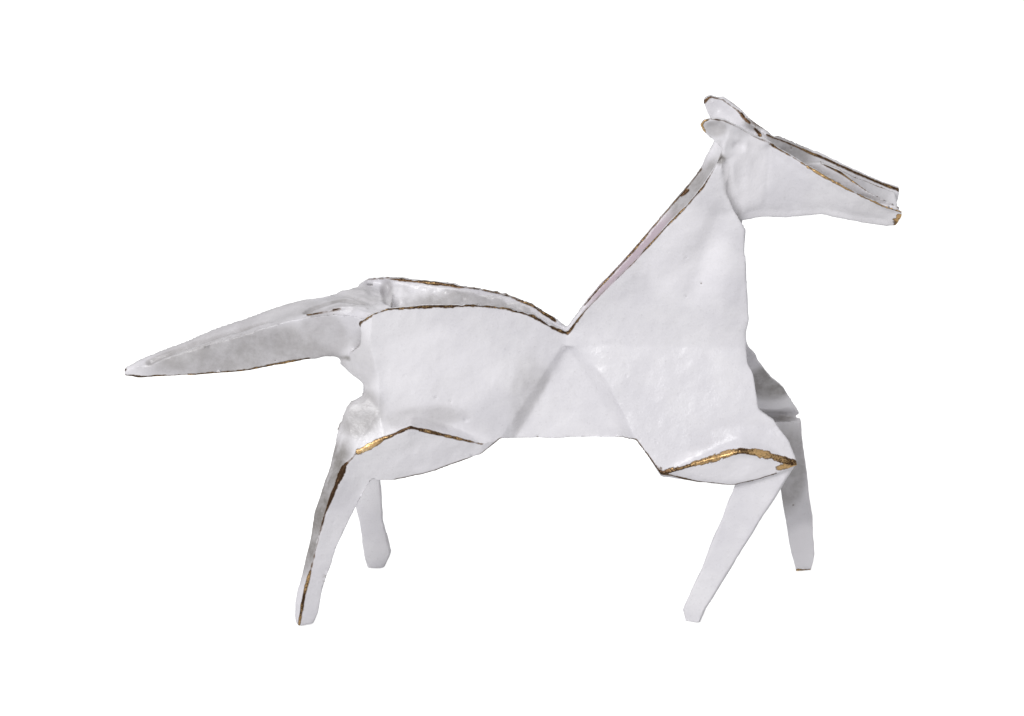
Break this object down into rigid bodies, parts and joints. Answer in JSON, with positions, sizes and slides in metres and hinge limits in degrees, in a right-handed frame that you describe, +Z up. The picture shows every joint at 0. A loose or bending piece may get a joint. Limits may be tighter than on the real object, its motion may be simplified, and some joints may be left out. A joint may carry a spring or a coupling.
{
  "type": "horse sculpture",
  "caption": "Trotting horse in folded-paper style, cast in brass with a pleated back and mane, white enamel on its facets and bare brass on its fold ridges; stands on its feet",
  "frame": {"origin": "middle of the bounding box, on the surface that the feet stand on", "axes": "X along the horse from tail to nose, Y across it with the far side at +Y, Z up"},
  "size_m": [0.23, 0.0472, 0.1556],
  "materials": {
    "white_lacquer": "glossy enamel",
    "bare_brass": "polished where the enamel is rubbed off"
  },
  "bodies": {
    "root": {"horse_casting": "white_lacquer"}
  },
  "joints": []
}
